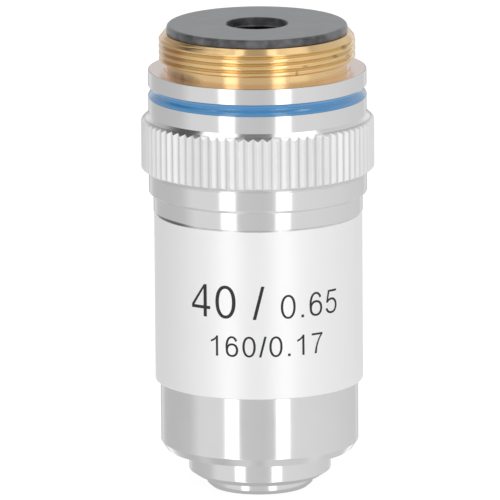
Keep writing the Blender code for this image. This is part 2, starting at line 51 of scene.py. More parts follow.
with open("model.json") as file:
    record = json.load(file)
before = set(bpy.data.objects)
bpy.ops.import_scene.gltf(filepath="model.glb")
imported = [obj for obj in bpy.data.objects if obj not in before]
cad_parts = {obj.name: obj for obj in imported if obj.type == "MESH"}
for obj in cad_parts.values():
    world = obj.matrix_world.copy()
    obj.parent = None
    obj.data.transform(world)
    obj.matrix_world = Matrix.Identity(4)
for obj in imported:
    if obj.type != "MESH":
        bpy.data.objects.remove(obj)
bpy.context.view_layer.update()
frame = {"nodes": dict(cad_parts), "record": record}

MM = 0.001
HOUSING = "housing"
LENS_BARREL = "lens_barrel"

# Facets of the turned pieces, of the thread and of rounded corners
ROUND_SEGMENTS = 256
THREAD_SEGMENTS = 288
THREAD_ROWS = 16
ARC_STEP = math.radians(18)
EDGE = 0.05
SOFT_EDGE = 0.12

# Radii, and heights over the front rim, in millimetres
COLLAR_RADIUS = 11.30
LOWER_BAND_RADIUS = 10.84
COLLAR_BORE = 9.70
MOUNT_SEAT_BORE = 9.30
FOOT_BORE = 9.605
GROOVE_FLOOR = 10.50
SHOULDER_Z = 44.18
FLANGE_BOTTOM = 42.53
GROOVE_BOTTOM = 41.31
KNURL_TOP = 39.53
KNURL_BOTTOM = 33.40
UNDERCUT = 0.08
STEP_BAND_BOTTOM = 31.05
STEP_RISE = 0.3
COLLAR_BOTTOM = 29.24
COLLAR_LEDGE_Z = 37.98
RECESS_Z = 44.03
SLEEVE_RADIUS = 10.79
SLEEVE_TOP = 29.20
SLEEVE_BOTTOM = 11.43
SLEEVE_CHAMFER = 0.13
THREAD_TOP = 48.05
THREAD_BOTTOM = 45.02
RELIEF_TOP_RADIUS = 9.52
RELIEF_FOOT_RADIUS = 9.60
INK_THICKNESS = 0.012

# Light of the room by elevation, and its tone by azimuth, in degrees
LIGHT_BY_ELEVATION = (
    (-90, 0.55), (-60, 0.57), (-25, 0.62), (-5, 0.60), (8, 0.62), (30, 0.48), (60, 0.46), (78, 0.24), (90, 0.19))
TONE_BY_AZIMUTH = (
    (-180, 0.47), (-150, 0.485), (-135, 0.435), (-110, 0.44), (-90, 0.465), (-75, 0.60), (-45, 0.61), (-20, 0.51),
    (5, 0.48), (16, 0.52), (38, 0.61), (60, 0.60), (95, 0.575), (120, 0.545), (130, 0.54), (140, 0.53),
    (160, 0.49), (180, 0.47))
# Middle azimuth, half width, lowest and highest elevation, soft edge in degrees, and light
DARK_CARD = (-116.0, 16.0, 31.0, 62.0, 8.0, 0.8)
SOFT_BOXES = (
    (-32.6, 8.3, -60.0, 66.0, 0.9, 0.85), (27.2, 7.9, -60.0, 66.0, 0.9, 0.90),
    (0.0, 38.0, -60.0, -30.0, 8.0, 0.10), (-80.0, 42.0, -60.0, -30.0, 6.0, 0.12),
    (53.0, 14.0, -8.0, 6.0, 3.0, 0.20), (80.0, 42.0, -60.0, -30.0, 6.0, 0.12),
    (130.0, 40.0, 15.0, 60.0, 6.0, 0.16),
    (-180.0, 22.0, -68.0, -20.0, 5.0, 0.34), (180.0, 22.0, -68.0, -20.0, 5.0, 0.34),
    (-180.0, 12.0, -20.0, -3.0, 4.0, -0.14), (180.0, 12.0, -20.0, -3.0, 4.0, -0.14),
    (-74.0, 10.0, 42.0, 54.0, 5.0, 0.4), (58.0, 27.0, 46.0, 62.0, 4.0, 0.5), (-55.0, 12.0, 50.0, 62.0, 4.0, 0.5),
    (-158.0, 7.0, -60.0, 40.0, 2.0, 0.12), (160.0, 7.0, -60.0, 40.0, 2.0, 0.12))
# Left, right, near and far limits as level parts of the direction, soft edge, and light
OVERHEAD_PANELS = ((-0.50, -0.19, -0.12, 0.16, 0.02, 1.2), (0.155, 0.55, -0.14, 0.18, 0.02, 1.2))


# ---------------------------------------------------------------- settings

class ThreadSizes(bpy.types.PropertyGroup):
    """Sizes of the brass mounting thread."""
    radius: FloatProperty(name="Radius", description="Crest radius of the mounting thread",
                          default=0.01016, unit="LENGTH", precision=5)
    pitch: FloatProperty(name="Pitch", description="Rise of the thread in one turn",
                         default=0.0007056, unit="LENGTH", precision=6)
    depth: FloatProperty(name="Depth", description="Depth of the thread from crest to root",
                         default=0.00034, unit="LENGTH", precision=6)


class KnurlSizes(bpy.types.PropertyGroup):
    """Sizes of the straight knurl on the grip collar."""
    teeth: IntProperty(name="Teeth", description="Number of teeth round the collar", default=78, min=12)
    radius: FloatProperty(name="Radius", description="Radius over the crests of the teeth",
                          default=0.01207, unit="LENGTH", precision=5)
    depth: FloatProperty(name="Depth", description="Depth of the grooves between the teeth",
                         default=0.00030, unit="LENGTH", precision=6)
    top_chamfer: FloatProperty(name="Top Chamfer", description="Height of the chamfer over the teeth",
                               default=0.00068, unit="LENGTH", precision=6)
    bottom_chamfer: FloatProperty(name="Bottom Chamfer", description="Height of the chamfer under the teeth",
                                  default=0.00054, unit="LENGTH", precision=6)


class SpringSizes(bpy.types.PropertyGroup):
    """Sizes of the return spring."""
    wire_radius: FloatProperty(name="Wire Radius", description="Radius of the spring's wire",
                               default=0.0004, unit="LENGTH", precision=6)
    coil_radius: FloatProperty(name="Coil Radius", description="Mean radius of the coils",
                               default=0.0077, unit="LENGTH", precision=5)
    active_turns: IntProperty(name="Active Turns", description="Turns that give way", default=6, min=1)
    travel: FloatProperty(name="Travel", description="How far the nose slides up",
                          default=0.003, unit="LENGTH", precision=5)


class FinishColours(bpy.types.PropertyGroup):
    """Colours of the finishes."""
    chrome: FloatVectorProperty(name="Chrome", description="Tint of the chrome plate", subtype="COLOR",
                                default=(0.92, 0.92, 0.93), min=0.0, max=1.0)
    satin: FloatVectorProperty(name="Satin", description="Tint of the satin sleeve", subtype="COLOR",
                               default=(0.96, 0.96, 0.965), min=0.0, max=1.0)
    brass: FloatVectorProperty(name="Brass", description="Tint of the turned brass", subtype="COLOR",
                               default=(0.98, 0.68, 0.33), min=0.0, max=1.0)
    black: FloatVectorProperty(name="Black", description="Tint of the black stop", subtype="COLOR",
                               default=(0.068, 0.069, 0.074), min=0.0, max=1.0)
    blue: FloatVectorProperty(name="Blue", description="Colour of the enamel band", subtype="COLOR",
                              default=(0.035, 0.25, 0.54), min=0.0, max=1.0)
    ink: FloatVectorProperty(name="Ink", description="Colour of the printed numbers", subtype="COLOR",
                             default=(0.014, 0.014, 0.015), min=0.0, max=1.0)


class StudioSettings(bpy.types.PropertyGroup):
    """Camera and surroundings."""
    distance: FloatProperty(name="Distance", description="From the camera to the object's middle",
                            default=1.1, unit="LENGTH")
    elevation: FloatProperty(name="Elevation", description="How far the camera looks down",
                             default=math.radians(12.4), subtype="ANGLE")
    roll: FloatProperty(name="Roll", description="Small turn of the camera about its view",
                        default=math.radians(-0.42), subtype="ANGLE")
    lens: FloatProperty(name="Lens", description="Focal length in millimetres on a 36 mm sensor", default=763.0)
    floor_glow: FloatProperty(name="Floor Glow", description="Light that the lit floor gives off by itself",
                              default=0.88, min=0.0)
    front_light: FloatProperty(name="Front Light", description="Power of the soft light over the camera",
                               default=1.2, min=0.0, unit="POWER")
    room_light: FloatProperty(name="Room Light", description="Strength of the surroundings", default=1.0, min=0.0)


class ObjectiveSettings(bpy.types.PropertyGroup):
    """All settings of the objective."""
    thread: PointerProperty(type=ThreadSizes, name="Thread", description="Mounting thread")
    knurl: PointerProperty(type=KnurlSizes, name="Knurl", description="Straight knurl")
    spring: PointerProperty(type=SpringSizes, name="Spring", description="Return spring")
    colours: PointerProperty(type=FinishColours, name="Finishes", description="Colours of the finishes")
    studio: PointerProperty(type=StudioSettings, name="Studio", description="Camera and surroundings")
    magnification: StringProperty(name="Magnification", description="Plain number printed large", default="40")
    aperture: StringProperty(name="Aperture", description="Plain number printed beside it", default="0.65")
    tube_and_cover: StringProperty(name="Tube and Cover", description="Plain numbers of the lower line",
                                   default="160/0.17")


# ---------------------------------------------------------------- node helpers

def put(tree, socket, value):
    """Link a socket to another one, or set its value."""
    if isinstance(value, bpy.types.NodeSocket):
        tree.links.new(value, socket)
    else:
        socket.default_value = value


def add_node(tree, kind, inputs=None, **settings):
    """Add a node, set its settings, and set or link its inputs."""
    made = tree.nodes.new(kind)
    for key, value in settings.items():
        setattr(made, key, value)
    for key, value in (inputs or {}).items():
        put(tree, made.inputs[key], value)
    return made


def maths(tree, operation, *values):
    """Add a Math node and return its result."""
    return add_node(tree, "ShaderNodeMath", dict(enumerate(values)), operation=operation).outputs[0]


def times(tree, first, second):
    """Product of two values."""
    return maths(tree, "MULTIPLY", first, second)


def plus(tree, first, second):
    """Sum of two values."""
    return maths(tree, "ADD", first, second)


def line_of(tree, value, factor, offset):
    """A value times a factor, and an offset added."""
    return plus(tree, times(tree, value, factor), offset)


def ramp_between(tree, value, start, end, low=0.0, high=1.0):
    """Smooth step of a value between two limits."""
    return add_node(tree, "ShaderNodeMapRange", {
        "Value": value, "From Min": start, "From Max": end, "To Min": low, "To Max": high,
    }, interpolation_type="SMOOTHSTEP", clamp=True).outputs["Result"]


def window(tree, value, rise, risen, fall, fallen):
    """Mask that rises between the first two limits and falls between the last two."""
    return times(tree, ramp_between(tree, value, rise, risen), ramp_between(tree, value, fallen, fall))


def band(tree, value, low, high, blur):
    """Mask that is 1 between two limits, with equally soft edges."""
    return window(tree, value, low - blur, low + blur, high - blur, high + blur)


def noise(tree, place, scale, detail, **more):
    """Value of a noise pattern."""
    inputs = {"Vector": place, "Scale": scale, "Detail": detail, **more}
    return add_node(tree, "ShaderNodeTexNoise", inputs).outputs["Fac"]


def mix_colour(tree, factor, first, second):
    """Blend two colours by a factor."""
    made = add_node(tree, "ShaderNodeMix", data_type="RGBA")
    for index, value in ((0, factor), (6, first), (7, second)):
        put(tree, made.inputs[index], value)
    return made.outputs[2]


def stain_and_painted_light(tree, shade, mask, weight, colour):
    """Blend a colour over a shade, as far as its mask and weight say: a stain's colour, or painted light or shade."""
    return mix_colour(tree, times(tree, mask, weight), shade, (*colour, 1.0))


def shaded(colour, factor=1.0):
    """A colour made darker or lighter, with its alpha."""
    return (*[min(1.0, c * factor) for c in colour], 1.0)


def mm(*values):
    """Millimetres as metres."""
    return [value * MM for value in values]


def new_material(name):
    """A material with an empty Principled shader; returns the material, its tree and the shader."""
    material = bpy.data.materials.new(name)
    material.use_nodes = True
    tree = material.node_tree
    return material, tree, tree.nodes["Principled BSDF"]


def dress(tree, shader, sockets, relief=None, depth=0.0):
    """Set or link the shader's sockets, and give it a bump of a depth in metres."""
    for name, value in sockets.items():
        put(tree, shader.inputs[name], value)
    if relief is not None:
        bump = add_node(tree, "ShaderNodeBump", {"Height": relief, "Strength": 1.0, "Distance": depth})
        tree.links.new(bump.outputs[0], shader.inputs["Normal"])


def object_place(tree):
    """Coordinates fixed to the object."""
    return add_node(tree, "ShaderNodeTexCoord").outputs["Object"]


def around_axis(tree):
    """Distance from the optical axis, height along it, angle round it, and the raw coordinates."""
    place = object_place(tree)
    x, y, z = add_node(tree, "ShaderNodeSeparateXYZ", {0: place}).outputs
    flat = add_node(tree, "ShaderNodeCombineXYZ", {0: x, 1: y})
    radius = add_node(tree, "ShaderNodeVectorMath", {0: flat.outputs[0]}, operation="LENGTH").outputs["Value"]
    return radius, z, maths(tree, "ARCTAN2", y, x), place


def turning_lines(tree, radius, height, angle, spacing):
    """Fine lines left by turning: a pattern that changes along the profile, hardly round the axis."""
    along = add_node(tree, "ShaderNodeCombineXYZ", {
        0: maths(tree, "DIVIDE", radius, spacing), 1: maths(tree, "DIVIDE", height, spacing),
        2: times(tree, angle, 0.6)})
    return noise(tree, along.outputs[0], 1.0, 3.0, Roughness=0.6)


def spot(tree, place, centre, size, blur):
    """Mask that is 1 near a point given in millimetres and fades out at its edge."""
    offset = add_node(tree, "ShaderNodeVectorMath", {0: place, 1: mm(*centre)}, operation="SUBTRACT")
    scaled = add_node(tree, "ShaderNodeVectorMath", {0: offset.outputs[0], 1: [1 / (s * MM) for s in size]},
                      operation="MULTIPLY")
    reach = add_node(tree, "ShaderNodeVectorMath", {0: scaled.outputs[0]}, operation="LENGTH")
    return ramp_between(tree, reach.outputs["Value"], 1.0 + blur, 1.0 - blur)


# ---------------------------------------------------------------- finishes

def turned_metal(name, colour, roughness, spacing, depth, collar=False):
    """Turned and plated metal: fine ring lines in its bump and gloss, and a faint uneven tone."""
    material, tree, shader = new_material(name)
    radius, height, angle, place = around_axis(tree)
    lines = turning_lines(tree, radius, height, angle, spacing)
    cloud = noise(tree, place, 260.0, 4.0)
    shade = mix_colour(tree, cloud, shaded(colour, 0.94), shaded(colour))
    gloss = plus(tree, times(tree, lines, 0.08), times(tree, cloud, 0.05))
    gloss = plus(tree, gloss, roughness - 0.065)
    if collar:
        shade, gloss = collar_marks(tree, radius, height, place, shade, gloss)
    dress(tree, shader, {"Base Color": shade, "Roughness": gloss, "Metallic": 1.0}, lines, depth)
    return material


def collar_marks(tree, radius, height, place, shade, gloss):
    """Add what only the collar has.

    The shoulder is a duller face, tinted warm as a painted reflection of the brass, with a painted dark
    reflection along its rim. The two chamfers under the knurl are satin, and there is painted shade in
    the seam over the sleeve.
    """
    face = ramp_between(tree, height, *mm(SHOULDER_Z - 0.05, SHOULDER_Z - 0.03))
    rim = times(tree, face, ramp_between(tree, radius, *mm(COLLAR_RADIUS - 0.15, COLLAR_RADIUS - 0.11)))
    knurl_foot = window(tree, height, *mm(KNURL_BOTTOM, KNURL_BOTTOM + 0.02, KNURL_BOTTOM + 0.55,
                                          KNURL_BOTTOM + 0.6))
    step = window(tree, height, *mm(STEP_BAND_BOTTOM, STEP_BAND_BOTTOM + 0.02, STEP_BAND_BOTTOM + 0.33,
                                    STEP_BAND_BOTTOM + 0.36))
    # Painted shade: a dark patch in the seam over the sleeve, on its left.
    painted_seam_shade = spot(tree, place, (-9.26, -5.56, 29.28), (3.2, 3.2, 0.14), 0.4)
    # Painted reflection: the shoulder face is tinted warm, like the brass it faces.
    shade = mix_colour(tree, face, shade, (0.92, 0.79, 0.745, 1.0))
    # Painted reflection: a dark line along the shoulder's rim.
    shade = stain_and_painted_light(tree, shade, rim, 0.8, (0.50, 0.45, 0.44))
    shade = stain_and_painted_light(tree, shade, painted_seam_shade, 0.9, (0.15, 0.145, 0.14))
    for mask, rougher in ((step, 0.30), (face, 0.10), (knurl_foot, 0.25)):
        gloss = plus(tree, gloss, times(tree, mask, rougher))
    return shade, gloss


def knurled_metal(name, colour, sizes):
    """Plated knurl: soft satin flanks, painted shade between the teeth, and a polished chamfer over them."""
    material, tree, shader = new_material(name)
    radius, height, _, place = around_axis(tree)
    crest = sizes.radius
    grain = noise(tree, place, 5000.0, 2.0)
    shade = mix_colour(tree, noise(tree, place, 330.0, 4.0), shaded(colour, 0.93), shaded(colour, 1.03))
    # Painted shade: the teeth grow darker towards the bottom of each groove between them.
    painted_valley_shade = ramp_between(tree, radius, crest - sizes.depth * 0.55, crest - sizes.depth * 0.95)
    shade = stain_and_painted_light(tree, shade, painted_valley_shade, 0.7, (0.62, 0.61, 0.60))
    share = maths(tree, "DIVIDE", maths(tree, "SUBTRACT", radius, COLLAR_RADIUS * MM), crest - COLLAR_RADIUS * MM)
    top = plus(tree, height, times(tree, share, sizes.top_chamfer))
    chamfer = ramp_between(tree, top, *mm(KNURL_TOP - 0.03, KNURL_TOP - 0.01))
    rough = maths(tree, "SUBTRACT", line_of(tree, grain, 0.12, 0.36), times(tree, chamfer, 0.25))
    dress(tree, shader, {"Base Color": shade, "Roughness": rough,
                         "Metallic": line_of(tree, chamfer, 0.35, 0.65)}, grain, 0.0000012)
    return material


def satin_metal(name, colour):
    """Fine satin of the sleeve: a soft grain, a little body colour under it, and a polished upper edge."""
    material, tree, shader = new_material(name)
    radius, height, angle, place = around_axis(tree)
    lines = turning_lines(tree, radius, height, angle, 0.00009)
    surface = plus(tree, times(tree, noise(tree, place, 9000.0, 2.0), 0.6), times(tree, lines, 0.4))
    shade = mix_colour(tree, noise(tree, place, 180.0, 3.0), shaded(colour, 0.975), shaded(colour))
    chamfer = ramp_between(tree, height, *mm(SLEEVE_TOP - SLEEVE_CHAMFER - 0.01, SLEEVE_TOP - SLEEVE_CHAMFER + 0.01))
    rough = maths(tree, "SUBTRACT", line_of(tree, surface, 0.1, 0.36), times(tree, chamfer, 0.26))
    dress(tree, shader, {"Base Color": shade, "Roughness": rough,
                         "Metallic": line_of(tree, chamfer, 0.5, 0.5)}, surface, 0.0000008)
    return material


def stained_brass(name, colour, crest):
    """Turned and lacquered brass.

    The thread's grooves are duller, the left of the thread is browner, and there are a brown stain over the
    flange and a few dark nicks in the thread.
    """
    material, tree, shader = new_material(name)
    radius, height, angle, place = around_axis(tree)
    lines = turning_lines(tree, radius, height, angle, 0.00006)
    cloud = noise(tree, place, 420.0, 5.0, Roughness=0.65)
    dull = (colour[0] * 0.93, colour[1] * 0.90, colour[2] * 0.85, 1.0)
    shade = mix_colour(tree, cloud, dull, (*colour, 1.0))
    groove = times(tree, ramp_between(tree, radius, crest - 0.05 * MM, crest - 0.16 * MM),
                   window(tree, height, *mm(45.05, 45.20, 47.45, 47.60)))
    shade = mix_colour(tree, groove, shade, (0.85, 0.67, 0.39, 1.0))
    # Browner towards the left of the thread.
    browner_left = spot(tree, place, (-9.2, -3.8, 46.4), (3.0, 3.0, 3.2), 0.35)
    shade = stain_and_painted_light(tree, shade, browner_left, 0.65, (0.60, 0.33, 0.13))
    stain = times(tree, spot(tree, place, (-7.64, -5.76, 44.35), (2.2, 2.2, 0.45), 0.45),
                  ramp_between(tree, cloud, 0.30, 0.60, low=0.45))
    shade = stain_and_painted_light(tree, shade, stain, 0.9, (0.28, 0.165, 0.085))
    nicks = 0.0
    for centre, size in (((4.05, -9.2, 45.35), (0.16, 0.5, 0.30)), ((4.9, -8.8, 46.1), (0.30, 0.5, 0.10)),
                         ((9.0, -4.6, 47.2), (0.30, 0.8, 0.22)), ((8.1, -6.0, 46.5), (0.35, 0.5, 0.12)),
                         ((9.3, -3.9, 46.2), (0.25, 0.6, 0.16))):
        nicks = maths(tree, "MAXIMUM", nicks, spot(tree, place, centre, size, 0.6))
    shade = stain_and_painted_light(tree, shade, nicks, 0.5, (0.20, 0.11, 0.05))
    gloss = plus(tree, plus(tree, times(tree, lines, 0.12), times(tree, cloud, 0.12)), 0.03)
    dress(tree, shader, {"Base Color": shade, "Roughness": gloss, "Metallic": 1.0,
                         "Coat Weight": 0.7, "Coat Roughness": 0.12}, lines, 0.000001)
    return material


def matte_black(name, colour):
    """Black stop: blotchy, with a soft sheen at low angles."""
    material, tree, shader = new_material(name)
    place = object_place(tree)
    cloud = noise(tree, place, 480.0, 5.0, Roughness=0.6)
    blotch = ramp_between(tree, cloud, 0.34, 0.66)
    shade = mix_colour(tree, blotch, shaded(colour, 0.3), shaded(colour, 1.8))
    relief = plus(tree, noise(tree, place, 6000.0, 2.0), times(tree, cloud, 3.0))
    dress(tree, shader, {
        "Base Color": shade, "Roughness": line_of(tree, cloud, 0.40, 0.17), "Specular IOR Level": 0.8,
        "Sheen Weight": 0.48, "Sheen Roughness": 0.4, "Sheen Tint": (0.95, 0.97, 1.0, 1.0)}, relief, 0.000004)
    return material


def glossy_enamel(name, colour):
    """Blue enamel under a clear gloss, with painted light on its upper flank and painted shade at both edges."""
    material, tree, shader = new_material(name)
    _, height, _, place = around_axis(tree)
    cloud = noise(tree, place, 700.0, 3.0)
    # Painted light: the upper flank is made paler, as if lit from the floor below.
    painted_light_upper_flank = ramp_between(tree, height, *mm(41.8, 42.1))
    # Painted shade: dark lines at the top edge under the flange and at the bottom edge.
    painted_edge_shade = maths(tree, "MAXIMUM", ramp_between(tree, height, *mm(42.34, 42.44)),
                 times(tree, ramp_between(tree, height, *mm(41.43, 41.37)), 0.6))
    painted_lit_blue = [min(1.0, c * 1.5 + 0.05) for c in colour]
    shade = stain_and_painted_light(tree, (*colour, 1.0), painted_light_upper_flank, 0.12, painted_lit_blue)
    shade = stain_and_painted_light(tree, shade, cloud, 0.25, [c * 0.8 for c in colour])
    shade = stain_and_painted_light(tree, shade, painted_edge_shade, 0.6, (0.025, 0.09, 0.17))
    dress(tree, shader, {"Base Color": shade, "Roughness": 0.25, "Coat Weight": 1.0, "Coat IOR": 1.8,
                         "Coat Roughness": 0.08}, cloud, 0.000006)
    return material


def printed_ink(name, colour):
    """Dark ink of the numbers, very slightly uneven."""
    material, tree, shader = new_material(name)
    cloud = noise(tree, object_place(tree), 2500.0, 3.0)
    dress(tree, shader, {"Base Color": mix_colour(tree, cloud, shaded(colour, 0.6), shaded(colour, 1.6)),
                         "Roughness": 0.5})
    return material


def optical_glass(name):
    """Clear coated glass with a faint tint that varies from the middle to the rim."""
    material, tree, shader = new_material(name)
    rim = ramp_between(tree, around_axis(tree)[0], *mm(2.0, 5.0))
    shade = mix_colour(tree, rim, (0.93, 0.97, 0.95, 1.0), (0.86, 0.90, 0.98, 1.0))
    dress(tree, shader, {"Base Color": shade, "Roughness": 0.02, "IOR": 1.6, "Transmission Weight": 1.0})
    return material


def floor_paper(name, glow):
    """Plain white floor that is lit from all sides and gives off some of that light."""
    material, tree, shader = new_material(name)
    cloud = noise(tree, object_place(tree), 3.0, 2.0)
    dress(tree, shader, {
        "Base Color": mix_colour(tree, cloud, (0.24, 0.24, 0.24, 1.0), (0.26, 0.26, 0.26, 1.0)), "Roughness": 0.9,
        "Specular IOR Level": 0.0, "Emission Color": (1.0, 1.0, 1.0, 1.0), "Emission Strength": glow})
    return material


# ---------------------------------------------------------------- shapes

def new_object(name, mesh, material):
    """Link a mesh to the scene as a piece with its material."""
    piece = bpy.data.objects.new(name, mesh)
    mesh.materials.clear()
    mesh.materials.append(material)
    bpy.context.scene.collection.objects.link(piece)
    return piece


def mesh_from(bm, name, sharp=None):
    """Turn a bmesh into a mesh, shaded smooth up to an angle in degrees where one is given."""
    mesh = bpy.data.meshes.new(name)
    bm.to_mesh(mesh)
    bm.free()
    if sharp:
        mesh.shade_smooth()
        mesh.set_sharp_from_angle(angle=math.radians(sharp))
    return mesh


def on_circle(radius, angle, height):
    """Point at an angle round the optical axis, with all lengths given in millimetres."""
    return (radius * MM * math.cos(angle), radius * MM * math.sin(angle), height * MM)


def disc(name, radius, height, sides, material):
    """Flat round plate, in metres."""
    mesh = bpy.data.meshes.new(name)
    rim = [(radius * math.cos(math.tau * i / sides), radius * math.sin(math.tau * i / sides), height)
           for i in range(sides)]
    mesh.from_pydata(rim, [], [tuple(range(sides))])
    return new_object(name, mesh, material)


def rounded(outline, closed=True):
    """Round the corners of an outline of (radius, height, corner radius).

    Returns a list of (radius, height, normal outward, normal upward).
    """
    rows = []
    count = len(outline)
    for i, (radius, height, fillet) in enumerate(outline):
        point = Vector((radius, height))
        if not closed and i in (0, count - 1):
            near = outline[1] if i == 0 else outline[count - 2]
            along = (Vector(near[:2]) - point) * (1 if i == 0 else -1)
            along.normalize()
            rows.append((radius, height, -along.y, along.x))
            continue
        before = point - Vector(outline[i - 1][:2])
        after = Vector(outline[(i + 1) % count][:2]) - point
        into, out = before.normalized(), after.normalized()
        turn = math.atan2(into.x * out.y - into.y * out.x, into.dot(out))
        half = math.tan(abs(turn) / 2)
        trim = min(fillet * half, 0.45 * before.length, 0.45 * after.length)
        bend = trim / half if half > 1e-6 else 0.0
        side = 1 if turn < 0 else -1
        normal = Vector((-into.y, into.x))
        centre = point - into * trim - normal * bend * side
        steps = max(1, math.ceil(abs(turn) / ARC_STEP))
        for k in range(steps + 1):
            angle = turn * k / steps
            n = Vector((normal.x * math.cos(angle) - normal.y * math.sin(angle),
                        normal.x * math.sin(angle) + normal.y * math.cos(angle)))
            at = centre + n * bend * side
            rows.append((at.x, at.y, n.x, n.y))
    return rows


def turned(name, outline, material, closed=True, segments=ROUND_SEGMENTS):
    """Revolve an outline in millimetres about the optical axis, with exact normals.

    A closed outline runs down the outer side and up the inner one. An open one starts and ends on the axis.
    """
    rows = rounded(outline, closed)
    angles = [math.tau * j / segments for j in range(segments)]
    points, normals, starts = [], [], []
    for radius, height, n_out, n_up in rows:
        starts.append(len(points))
        if radius < 1e-9:
            points.append((0.0, 0.0, height * MM))
            normals.append((0.0, 0.0, math.copysign(1.0, n_up)))
            continue
        for a in angles:
            points.append(on_circle(radius, a, height))
            normals.append((n_out * math.cos(a), n_out * math.sin(a), n_up))
    faces = []
    for i in range(len(rows) if closed else len(rows) - 1):
        k = (i + 1) % len(rows)
        for j in range(segments):
            n = (j + 1) % segments
            if rows[i][0] < 1e-9:
                faces.append((starts[i], starts[k] + j, starts[k] + n))
            elif rows[k][0] < 1e-9:
                faces.append((starts[i] + j, starts[k], starts[i] + n))
            else:
                faces.append((starts[i] + j, starts[k] + j, starts[k] + n, starts[i] + n))
    mesh = bpy.data.meshes.new(name)
    mesh.from_pydata(points, [], faces)
    mesh.validate()
    mesh.shade_smooth()
    mesh.normals_split_custom_set_from_vertices(normals)
    return new_object(name, mesh, material)


def thread_depth(phase, pitch, depth):
    """Depth below the crest: a crest that bends in at its lower edge, and a 55 degree groove with a soft floor."""
    y = (phase - round(phase)) * pitch
    crest, bulge = 0.25 * pitch, 0.05 if y < 0.0 else 0.0
    if abs(y) < crest:
        return bulge * (y / crest) ** 2
    down = bulge + (abs(y) - crest) / math.tan(math.radians(27.5))
    soft = 0.2 * depth
    return down if down < depth - soft else depth - soft * math.exp(-(down - depth + soft) / soft)


def helical_mount(name, sizes, material):
    """Brass tube with its thread cut as a true helix that runs out in the relief below."""
    pitch, depth, crest = sizes.pitch / MM, sizes.depth / MM, sizes.radius / MM
    rows_count = math.ceil(THREAD_ROWS * ((THREAD_TOP - THREAD_BOTTOM) / pitch + 1)) + 1
    bore, spigot, foot, spigot_end = 8.40, 9.20, 44.045, 38.08
    lead_in, slope, lip = 9.68, 0.76, 0.24
    first_row = THREAD_TOP - 0.04
    run_out, run_out_slope = 0.28, 2.2
    upper = rounded([(bore, THREAD_TOP, EDGE), (lead_in, THREAD_TOP, 0.04),
                     (lead_in + lip * slope, THREAD_TOP - lip, EDGE)], closed=False)[:-1]
    lower = rounded([(RELIEF_TOP_RADIUS, THREAD_BOTTOM, EDGE), (RELIEF_FOOT_RADIUS, foot, 0.02), (spigot, foot, EDGE),
                     (spigot, spigot_end, SOFT_EDGE), (bore, spigot_end, SOFT_EDGE), (bore, THREAD_TOP - 0.3, EDGE)],
                    closed=False)
    head = len(upper)
    bm = bmesh.new()
    columns = []
    for j in range(THREAD_SEGMENTS):
        part = j / THREAD_SEGMENTS
        column = [(r, z) for r, z, _, _ in upper]
        for k in range(rows_count):
            z = first_row - (k / THREAD_ROWS - part) * pitch
            z = min(max(z, THREAD_BOTTOM), first_row)
            r = crest - thread_depth((z - THREAD_TOP) / pitch - part + 0.5, pitch, depth)
            r = min(r, lead_in + (THREAD_TOP - z) * slope)
            if z < THREAD_BOTTOM + run_out:
                r = min(r, RELIEF_TOP_RADIUS + (z - THREAD_BOTTOM) * run_out_slope)
            column.append((r, z))
        column += [(r, z) for r, z, _, _ in lower]
        columns.append([bm.verts.new(on_circle(r, math.tau * j / THREAD_SEGMENTS, z)) for r, z in column])
    rows = len(columns[0])

    def beside(i, wraps):
        """Row of the next column that meets row i; where the ring closes, the helix is one turn lower."""
        return max(i - THREAD_ROWS, head) if wraps and head <= i < head + rows_count else i

    for j, column in enumerate(columns):
        wraps = j == THREAD_SEGMENTS - 1
        following = columns[0 if wraps else j + 1]
        for i in range(rows):
            k = (i + 1) % rows
            corners = []
            for vert in (column[i], column[k], following[beside(k, wraps)], following[beside(i, wraps)]):
                if vert not in corners:
                    corners.append(vert)
            if len(corners) > 2 and bm.faces.get(corners) is None:
                bm.faces.new(corners)
    bmesh.ops.remove_doubles(bm, verts=bm.verts, dist=1e-8)
    bmesh.ops.dissolve_degenerate(bm, edges=bm.edges, dist=1e-8)
    return new_object(name, mesh_from(bm, name, sharp=50), material)


def start_tree(name, inputs):
    """A new geometry tree with named inputs; returns the tree and its inputs' sockets."""
    tree = bpy.data.node_groups.new(name, "GeometryNodeTree")
    for label, kind in inputs.items():
        tree.interface.new_socket(label, in_out="INPUT", socket_type="NodeSocket" + kind)
    tree.interface.new_socket("Geometry", in_out="OUTPUT", socket_type="NodeSocketGeometry")
    return tree, add_node(tree, "NodeGroupInput").outputs


def end_tree(tree, geometry, material):
    """Make the instances real, set the material, and hand the result on."""
    real = add_node(tree, "GeometryNodeRealizeInstances", {0: geometry})
    painted = add_node(tree, "GeometryNodeSetMaterial", {"Geometry": real.outputs[0], "Material": material})
    add_node(tree, "NodeGroupOutput", {0: painted.outputs[0]})


def run_tree(piece, tree, values):
    """Put a geometry tree on a piece, set its named inputs, and keep the result as a plain mesh."""
    modifier = piece.modifiers.new(tree.name, "NODES")
    modifier.node_group = tree
    for item in tree.interface.items_tree:
        if item.in_out == "INPUT" and item.name in values:
            modifier[item.identifier] = values[item.name]
    bpy.context.view_layer.update()
    evaluated = piece.evaluated_get(bpy.context.evaluated_depsgraph_get())
    mesh = bpy.data.meshes.new_from_object(evaluated)
    piece.modifiers.clear()
    piece.data = mesh


